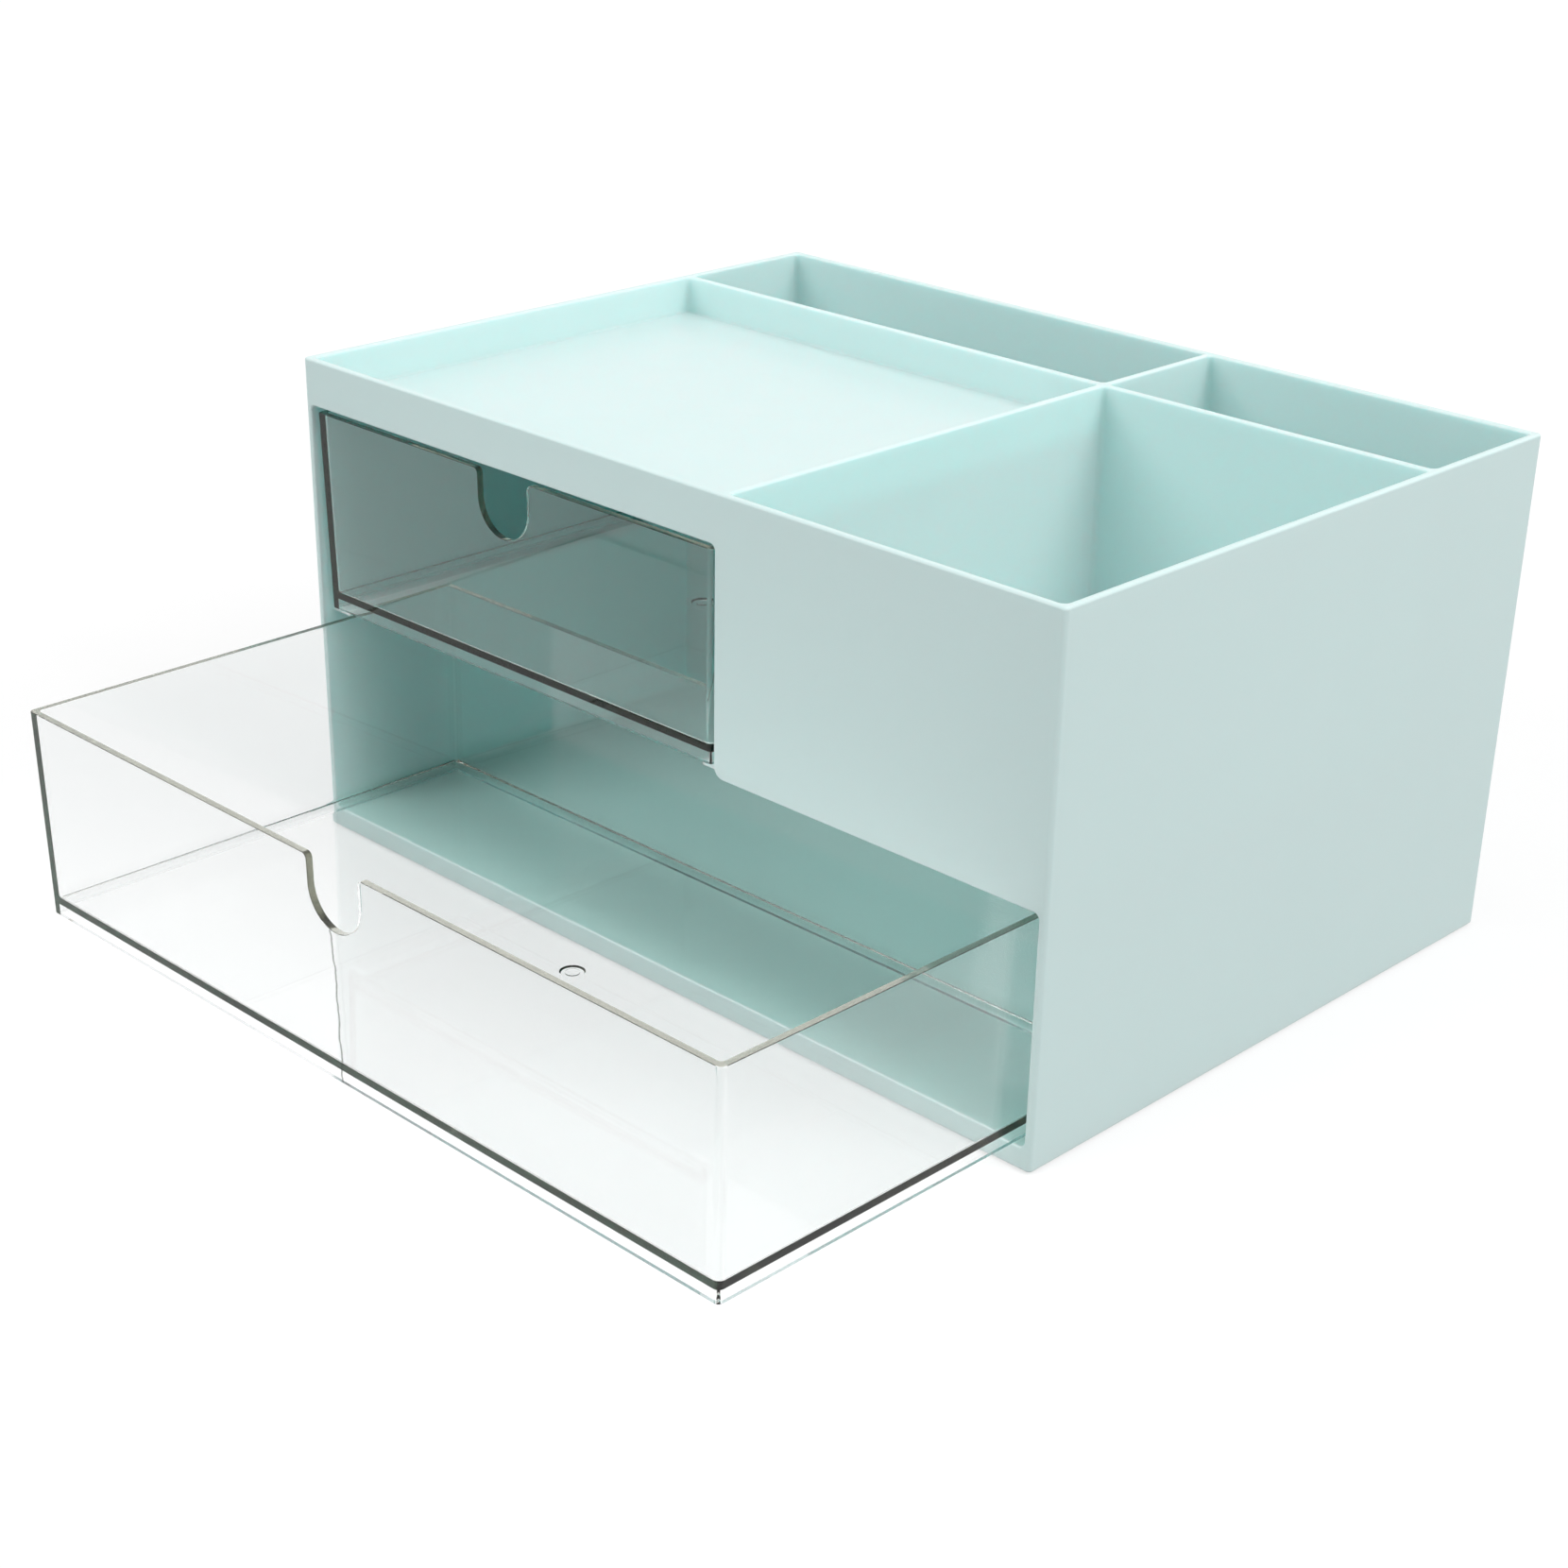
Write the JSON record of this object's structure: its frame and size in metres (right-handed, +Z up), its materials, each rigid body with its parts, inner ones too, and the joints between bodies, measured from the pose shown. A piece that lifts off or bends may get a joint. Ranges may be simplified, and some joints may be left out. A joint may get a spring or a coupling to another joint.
{
  "type": "desk organizer with drawers",
  "caption": "Mint desk organizer: shallow tray and deep compartments on top, clear sliding drawers with finger notches behind an L-shaped front opening.",
  "frame": {"origin": "centre of the case's base, on the surface that the organizer stands on", "axes": "+Z up, -Y the way the drawers open, +X to the right as seen from the front"},
  "size_m": [0.25, 0.2695, 0.1315],
  "materials": {
    "mint_plastic": "satin",
    "clear_plastic": "clear, polished",
    "pad_rubber": "matte"
  },
  "bodies": {
    "case": {"case": "mint_plastic", "foot_pad_front_left": "pad_rubber", "foot_pad_front_right": "pad_rubber", "foot_pad_rear_left": "pad_rubber", "foot_pad_rear_right": "pad_rubber"},
    "upper_drawer": {"upper_drawer": "clear_plastic"},
    "lower_drawer": {"lower_drawer": "clear_plastic"}
  },
  "joints": [
    {"name": "upper_drawer_slide", "type": "slide", "parent": "case", "child": "upper_drawer", "axis": [0, -1, 0], "range_m": [0, 0.11]},
    {"name": "lower_drawer_slide", "type": "slide", "parent": "case", "child": "lower_drawer", "axis": [0, -1, 0], "range_m": [-0.0905, 0.0195]}
  ]
}
